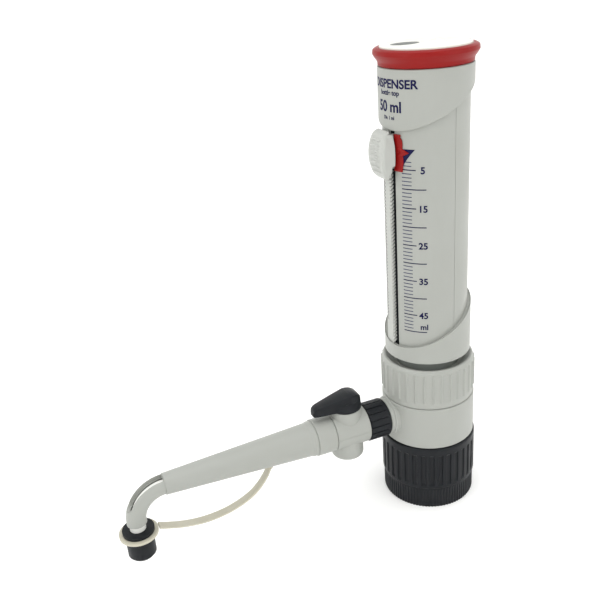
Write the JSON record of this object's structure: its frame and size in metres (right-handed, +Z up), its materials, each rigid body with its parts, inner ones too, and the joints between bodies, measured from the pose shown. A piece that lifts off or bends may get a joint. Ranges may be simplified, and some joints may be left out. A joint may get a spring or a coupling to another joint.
{
  "type": "bottle-top dispenser burette",
  "caption": "Bottle-top dispensing burette: lift-up housing over a glass barrel, ratchet volume cursor, screw collars, side arm with stopcock and capped spout.",
  "frame": {"origin": "centre of the bottle thread at the underside of the base adapter, on the vertical axis of the barrel", "axes": "+Z up along the barrel, -Y along the spout arm, +X to the side that the scale faces"},
  "size_m": [0.0552, 0.2181, 0.2632],
  "materials": {
    "grey_pp": "fine satin moulded polypropylene",
    "light_grey_pp": "fine satin moulded polypropylene",
    "black_pp": "satin moulded polypropylene",
    "red_pp": "satin moulded polypropylene",
    "white_pp": "semi-gloss moulded plastic",
    "natural_pe": "waxy undyed polyethylene",
    "borosilicate_glass": "clear drawn tube",
    "fluoropolymer": "machined PTFE and drawn FEP",
    "spring_steel": "drawn wire"
  },
  "bodies": {
    "valve_body": {"valve_block": "grey_pp", "ring_retainer": "grey_pp", "bottle_seal": "fluoropolymer", "intake_valve_seat": "fluoropolymer", "outlet_valve_seat": "fluoropolymer", "outlet_spring": "spring_steel", "transfer_tube": "fluoropolymer", "barrel_gasket": "fluoropolymer", "glass_barrel": "borosilicate_glass", "barrel_guide": "grey_pp", "stopcock_upper": "grey_pp", "stopcock_lower": "grey_pp", "stopcock_liner": "fluoropolymer", "nozzle_collar": "grey_pp", "nozzle_cover": "grey_pp", "strap_anchor": "natural_pe", "spout_elbow": "grey_pp", "delivery_tube": "fluoropolymer", "spout_tip": "fluoropolymer", "cap_strap": "natural_pe"},
    "bottle_ring": {"bottle_ring": "black_pp"},
    "thread_adapter": {"thread_adapter": "black_pp"},
    "clamp_nut": {"clamp_nut": "grey_pp"},
    "union_nut": {"union_nut": "black_pp"},
    "stopcock": {"stopcock_lever": "black_pp", "stopcock_plug": "fluoropolymer"},
    "nozzle_cap": {"nozzle_cap": "black_pp", "strap_ring": "natural_pe"},
    "intake_ball": {"intake_ball": "borosilicate_glass"},
    "outlet_ball": {"outlet_ball": "borosilicate_glass"},
    "housing": {"sleeve_front": "grey_pp", "sleeve_rear": "grey_pp", "upper_hood": "grey_pp", "colour_collar": "red_pp", "top_plate": "white_pp", "lower_cup": "grey_pp", "ratchet_rail": "light_grey_pp", "plunger_rod": "grey_pp", "piston_core": "grey_pp", "piston_seal": "fluoropolymer", "plunger_nut": "grey_pp"},
    "cursor": {"cursor_frame": "grey_pp", "volume_pointer": "red_pp"},
    "button": {"cursor_button": "light_grey_pp", "button_spring": "spring_steel"}
  },
  "joints": [
    {"name": "housing_lift", "type": "slide", "parent": "valve_body", "child": "housing", "axis": [0, 0, 1], "range_m": [0, 0.1]},
    {"name": "volume_set", "type": "slide", "parent": "housing", "child": "cursor", "axis": [0, 0, -1], "range_m": [0, 0.0985]},
    {"name": "button_press", "type": "slide", "parent": "cursor", "child": "button", "axis": [0, 1, 0], "range_m": [0, 0.001], "stiffness_N_per_m": 600, "springref_m": -0.0015, "deforming": ["button_spring"]},
    {"name": "stopcock_turn", "type": "hinge", "parent": "valve_body", "child": "stopcock", "pos_m": [0, -0.0544, 0.0565], "axis": [0, 0, 1], "range_deg": [0, 90]},
    {"name": "cap_pull", "type": "slide", "parent": "valve_body", "child": "nozzle_cap", "axis": [0, 0, -1], "range_m": [0, 0.0105], "deforming": ["cap_strap"]},
    {"name": "clamp_nut_turn", "type": "hinge", "parent": "valve_body", "child": "clamp_nut", "pos_m": [0, 0, 0.08], "axis": [0, 0, 1], "continuous": true},
    {"name": "bottle_ring_turn", "type": "hinge", "parent": "valve_body", "child": "bottle_ring", "pos_m": [0, 0, 0.03], "axis": [0, 0, 1], "continuous": true},
    {"name": "adapter_turn", "type": "hinge", "parent": "bottle_ring", "child": "thread_adapter", "pos_m": [0, 0, 0.01], "axis": [0, 0, 1], "continuous": true},
    {"name": "union_nut_turn", "type": "hinge", "parent": "valve_body", "child": "union_nut", "pos_m": [0, -0.037, 0.0565], "axis": [0, 1, 0], "continuous": true},
    {"name": "intake_ball_lift", "type": "slide", "parent": "valve_body", "child": "intake_ball", "axis": [0, 0, 1], "range_m": [0, 0.0015]},
    {"name": "outlet_ball_lift", "type": "slide", "parent": "valve_body", "child": "outlet_ball", "axis": [0, -1, 0], "range_m": [0, 0.0015], "stiffness_N_per_m": 10, "springref_m": -0.0012, "deforming": ["outlet_spring"]}
  ]
}
